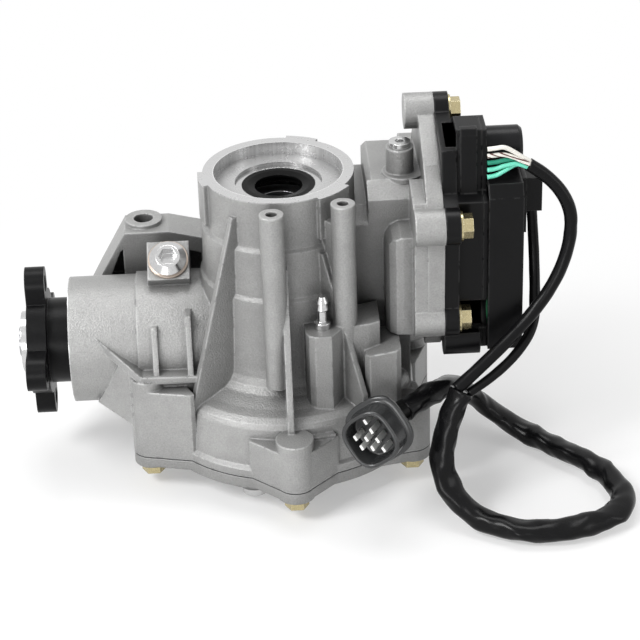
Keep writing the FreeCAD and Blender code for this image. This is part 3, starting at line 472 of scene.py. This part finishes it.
plugPieces = {
    "connector_shell": (makeShroud(), "plug_plastic"),
    "connector_pins": (makeBlades(), "pin_metal"),
}
for node, (piece, slotName) in plugPieces.items():
    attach(piece, "case")
    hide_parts(node)

for name, setting in cords.items():
    line = routeLine(setting["points"])
    cord = tube(name, line, setting["half"], setting["wrinkle"], setting["look"])
    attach(cord, "case")
    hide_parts(setting["node"])

# Five short wires that swing from the drive's side into the mouth of the sheath.
wireHalf = (1.35, 1.35)
wires = {
    "wire_white": dict(start=219, rise=1.5, spread=(2.0, 0.0), look="whiteWireLook",
                       slot="white_wire"),
    "wire_white_striped": dict(start=214.5, rise=1.0, spread=(0.8, 2.0), look="stripedWireLook",
                               slot="white_wire"),
    "wire_dark_green": dict(start=210, rise=1.8, spread=(0.8, -2.0), look="greenWireLook",
                            slot="green_wire"),
    "wire_mint_upper": dict(start=205.5, rise=3.0, spread=(-1.4, 1.3), look="mintWireLook",
                            slot="mint_wire"),
    "wire_mint_lower": dict(start=201, rise=4.0, spread=(-1.6, -1.2), look="mintWireLook",
                            slot="mint_wire"),
}
mouth = np.array([147.0, -40.0, 208.0])
heading = np.array([25.0, -2.0, -16.0])
heading /= np.linalg.norm(heading)
upward = np.cross(heading, [0, 1.0, 0])
upward /= np.linalg.norm(upward)
forward = np.cross(heading, upward)
for name, setting in wires.items():
    lift, front = setting["spread"]
    end = mouth + upward * lift + forward * front
    start = np.array([122.6, -40, setting["start"]])
    bend = np.array([133.0, -40.4, setting["start"] + setting["rise"]])
    points = [start, start + [5, 0, 0.3], bend, end - heading * 5, end + heading * 3]
    line = routeLine([tuple(spot) for spot in points])
    wire = tube(name + "_skin", line, wireHalf, 0.0, setting["look"], 16)
    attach(wire, "case")
    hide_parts(name)
print("cords laid")


def makeFloor():
    # Pale sheet. Seen from the camera or in a reflection it goes to white away from the part's shadow.
    mesh = bpy.data.meshes.new("floorSheet")
    reach = 6
    corners = [(-reach, -reach, 0), (reach, -reach, 0), (reach, reach, 0), (-reach, reach, 0)]
    mesh.from_pydata(corners, [], [(0, 1, 2, 3)])
    floor = bpy.data.objects.new("floorSheet", mesh)
    scene.collection.objects.link(floor)
    floor.location.z = -0.0004
    material = bpy.data.materials.new("floorLook")
    material.use_nodes = True
    made = Nodes(material.node_tree)
    where = made.add("ShaderNodeTexCoord").outputs["Object"]
    away = made.add("ShaderNodeVectorMath", {0: where}, operation="LENGTH").outputs["Value"]
    fade = made.add("ShaderNodeMapRange", {"Value": away, "From Min": 0.12, "From Max": 0.42, "To Min": 0.35,
                                           "To Max": 1.0}, interpolation_type="SMOOTHSTEP").outputs[0]
    rays = made.add("ShaderNodeLightPath").outputs
    seen = made.math("MAXIMUM", rays["Is Camera Ray"], rays["Is Glossy Ray"])
    seen = made.math("MAXIMUM", seen, rays["Is Transmission Ray"])
    shader = made.add("ShaderNodeBsdfPrincipled", {"Base Color": (0.93, 0.93, 0.93, 1), "Roughness": 0.7})
    glow = made.add("ShaderNodeEmission", {"Color": (1, 1, 1, 1), "Strength": 1.0})
    mixed = made.add("ShaderNodeMixShader", {0: made.math("MULTIPLY", seen, fade), 1: shader.outputs[0],
                                             2: glow.outputs[0]})
    made.add("ShaderNodeOutputMaterial", {"Surface": mixed.outputs[0]})
    mesh.materials.append(material)


def makeSky():
    # Dim light from all round, brighter from above. The camera and reflections see white instead.
    world = bpy.data.worlds.new("paleRoom")
    scene.world = world
    world.use_nodes = True
    made = Nodes(world.node_tree)
    way = made.add("ShaderNodeTexCoord").outputs["Generated"]
    parts = made.add("ShaderNodeSeparateXYZ", {0: way}).outputs
    rise = made.math("ADD", made.math("MULTIPLY", parts["Z"], 0.5), 0.5)
    greys = ((0.0, 0.06), (0.5, 0.10), (0.62, 0.22), (1.0, 0.42))
    shade = made.ramp(rise, [(spot, (grey, grey, grey)) for spot, grey in greys])
    rays = made.add("ShaderNodeLightPath").outputs
    seen = made.math("MAXIMUM", rays["Is Camera Ray"], rays["Is Glossy Ray"])
    seen = made.math("MAXIMUM", seen, rays["Is Transmission Ray"])
    colour = made.blend(seen, shade, (1.0, 1.0, 1.0))
    back = made.add("ShaderNodeBackground", {"Color": colour, "Strength": 1.0})
    made.add("ShaderNodeOutputWorld", {"Surface": back.outputs[0]})


def makeLamp(name, place, aim, size, power):
    # A rectangular lamp, turned so that it faces the spot it aims at.
    data = bpy.data.lights.new(name, "AREA")
    data.shape = "RECTANGLE"
    data.size, data.size_y = size
    data.energy = power
    lamp = bpy.data.objects.new(name, data)
    scene.collection.objects.link(lamp)
    lamp.location = place
    lamp.rotation_mode = "QUATERNION"
    lamp.rotation_quaternion = (Vector(aim) - Vector(place)).to_track_quat("-Z", "Y")


makeFloor()
makeSky()
makeLamp("keyLamp", (-1.0, -0.7, 1.3), (0, 0, 0.08), (0.6, 0.6), 22)
makeLamp("frontLamp", (-0.5, -1.5, 0.35), (0, 0, 0.08), (0.5, 0.5), 6)
makeLamp("sideLamp", (1.3, -0.5, 0.7), (0.05, 0, 0.1), (0.4, 0.9), 3)
makeLamp("topLamp", (0.0, 0.4, 1.5), (0, 0, 0.1), (0.9, 0.6), 9)

scene.view_settings.view_transform = "Standard"

print("scene ready")
